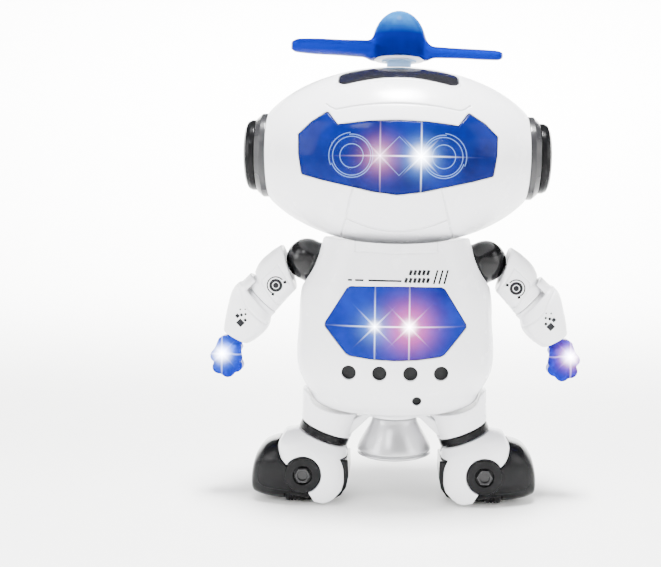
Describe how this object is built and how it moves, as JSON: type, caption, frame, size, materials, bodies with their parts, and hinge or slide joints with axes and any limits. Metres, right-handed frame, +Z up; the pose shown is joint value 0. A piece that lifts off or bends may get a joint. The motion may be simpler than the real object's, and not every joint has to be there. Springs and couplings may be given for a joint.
{
  "type": "toy robot",
  "caption": "Upright toy robot with a wide turning head, spinning top rotor, blue visor and chest panes, swinging arms, turning waist and wheeled feet.",
  "frame": {"origin": "bottom centre of the bounding box, on the surface that the wheels stand on", "axes": "+Z up, the robot faces -Y, +X is the robot's left"},
  "size_m": [0.171, 0.0939, 0.225],
  "materials": {
    "white_shell": "gloss moulded plastic",
    "black_gloss": "gloss black plastic",
    "blue_clear": "clear tinted plastic",
    "lens_blue": "clear tinted plastic pane",
    "smoke_clear": "smoked clear plastic",
    "grey_trim": "gloss plastic",
    "silver_plastic": "silver grey gloss plastic",
    "pale_blue": "light guide plastic",
    "circuit_board": "coated board",
    "steel": "plated",
    "nylon": "moulded nylon",
    "cell_skin": "printed sleeve",
    "wheel_rubber": "matt",
    "led_red": "clear light",
    "led_blue": "clear light"
  },
  "bodies": {
    "base": {"pelvis_frame": "white_shell", "waist_gear": "nylon", "skirt_bell": "silver_plastic", "thigh_left": "white_shell", "thigh_right": "white_shell", "leg_ring_left": "black_gloss", "leg_ring_right": "black_gloss", "shank_left": "white_shell", "shank_right": "white_shell", "shoe_left": "black_gloss", "shoe_right": "black_gloss", "ankle_bolt_left": "black_gloss", "ankle_bolt_right": "black_gloss", "drive_motor_left": "steel", "drive_motor_right": "steel"},
    "torso": {"torso_front_shell": "white_shell", "torso_rear_shell": "white_shell", "chest_lens": "lens_blue", "chest_light_board": "circuit_board", "speaker": "black_gloss", "control_board": "circuit_board", "battery_1": "cell_skin", "battery_2": "cell_skin", "battery_3": "cell_skin", "waist_motor": "steel", "neck_spindle": "white_shell"},
    "waist_drive": {"waist_pinion": "nylon"},
    "head": {"head_front_shell": "white_shell", "head_rear_shell": "white_shell", "visor_lens": "lens_blue", "eye_light_board": "circuit_board", "top_window": "smoke_clear", "ear_ring_left": "grey_trim", "ear_ring_right": "grey_trim", "ear_cap_left": "black_gloss", "ear_cap_right": "black_gloss", "rotor_motor": "steel", "rotor_column": "pale_blue", "rotor_light_board": "circuit_board"},
    "rotor": {"rotor_blades": "blue_clear", "rotor_base_plate": "white_shell", "rotor_gear": "nylon"},
    "rotor_drive": {"rotor_pinion": "nylon"},
    "shoulder_left": {"shoulder_ball_left": "black_gloss"},
    "shoulder_right": {"shoulder_ball_right": "black_gloss"},
    "arm_left": {"upper_arm_left": "white_shell"},
    "arm_right": {"upper_arm_right": "white_shell"},
    "forearm_and_hand_left": {"forearm_left": "white_shell", "hand_left": "blue_clear", "hand_led_left": "led_red"},
    "forearm_and_hand_right": {"forearm_right": "white_shell", "hand_right": "blue_clear", "hand_led_right": "led_blue"},
    "battery_door": {"battery_cover": "white_shell", "cover_screw": "steel"},
    "switch": {"power_switch": "black_gloss"},
    "front_wheel_left": {"wheel_front_left": "wheel_rubber"},
    "rear_wheel_left": {"wheel_rear_left": "wheel_rubber"},
    "front_wheel_right": {"wheel_front_right": "wheel_rubber"},
    "rear_wheel_right": {"wheel_rear_right": "wheel_rubber"}
  },
  "joints": [
    {"name": "waist_turn", "type": "hinge", "parent": "base", "child": "torso", "pos_m": [0, 0, 0.0405], "axis": [0, 0, 1], "range_deg": [-50, 50]},
    {"name": "waist_pinion_spin", "type": "hinge", "parent": "torso", "child": "waist_drive", "pos_m": [0.0174, -0.00811, 0.052], "axis": [0, 0, 1], "range_deg": [-150, 150]},
    {"name": "neck_turn", "type": "hinge", "parent": "torso", "child": "head", "pos_m": [0, 0, 0.118], "axis": [0, 0, 1], "range_deg": [-40, 40]},
    {"name": "rotor_spin", "type": "hinge", "parent": "head", "child": "rotor", "pos_m": [0, 0, 0.203], "axis": [0, 0, 1], "continuous": true},
    {"name": "rotor_pinion_spin", "type": "hinge", "parent": "head", "child": "rotor_drive", "pos_m": [0, 0.0126, 0.1885], "axis": [0, 0, 1], "continuous": true},
    {"name": "shoulder_swing_left", "type": "hinge", "parent": "torso", "child": "shoulder_left", "pos_m": [0.0413, 0, 0.1115], "axis": [-0.9184, 0, -0.3955], "range_deg": [-45, 90]},
    {"name": "arm_raise_left", "type": "hinge", "parent": "shoulder_left", "child": "arm_left", "pos_m": [0.0413, 0, 0.1115], "axis": [0, -1, 0], "range_deg": [-5, 55]},
    {"name": "elbow_turn_left", "type": "hinge", "parent": "arm_left", "child": "forearm_and_hand_left", "pos_m": [0.0618, 0, 0.0919], "axis": [0.7091, 0, -0.7051], "range_deg": [-90, 90]},
    {"name": "shoulder_swing_right", "type": "hinge", "parent": "torso", "child": "shoulder_right", "pos_m": [-0.0413, 0, 0.1115], "axis": [-0.9184, 0, 0.3955], "range_deg": [-45, 90]},
    {"name": "arm_raise_right", "type": "hinge", "parent": "shoulder_right", "child": "arm_right", "pos_m": [-0.0413, 0, 0.1115], "axis": [0, 1, 0], "range_deg": [-5, 55]},
    {"name": "elbow_turn_right", "type": "hinge", "parent": "arm_right", "child": "forearm_and_hand_right", "pos_m": [-0.0618, 0, 0.0919], "axis": [-0.7091, 0, -0.7051], "range_deg": [-90, 90]},
    {"name": "battery_door_slide", "type": "slide", "parent": "torso", "child": "battery_door", "axis": [0, 1, 0], "range_m": [0, 0.02]},
    {"name": "power_switch_slide", "type": "slide", "parent": "torso", "child": "switch", "axis": [1, 0, 0], "range_m": [0, 0.003]},
    {"name": "front_wheel_spin_left", "type": "hinge", "parent": "base", "child": "front_wheel_left", "pos_m": [0.046, -0.008, 0.006], "axis": [1, 0, 0], "continuous": true},
    {"name": "rear_wheel_spin_left", "type": "hinge", "parent": "base", "child": "rear_wheel_left", "pos_m": [0.046, 0.008, 0.006], "axis": [1, 0, 0], "continuous": true},
    {"name": "front_wheel_spin_right", "type": "hinge", "parent": "base", "child": "front_wheel_right", "pos_m": [-0.046, -0.008, 0.006], "axis": [1, 0, 0], "continuous": true},
    {"name": "rear_wheel_spin_right", "type": "hinge", "parent": "base", "child": "rear_wheel_right", "pos_m": [-0.046, 0.008, 0.006], "axis": [1, 0, 0], "continuous": true}
  ],
  "couplings": [
    {"joint": "waist_pinion_spin", "follows": "waist_turn", "ratio": 3},
    {"joint": "rotor_pinion_spin", "follows": "rotor_spin", "ratio": -2}
  ]
}
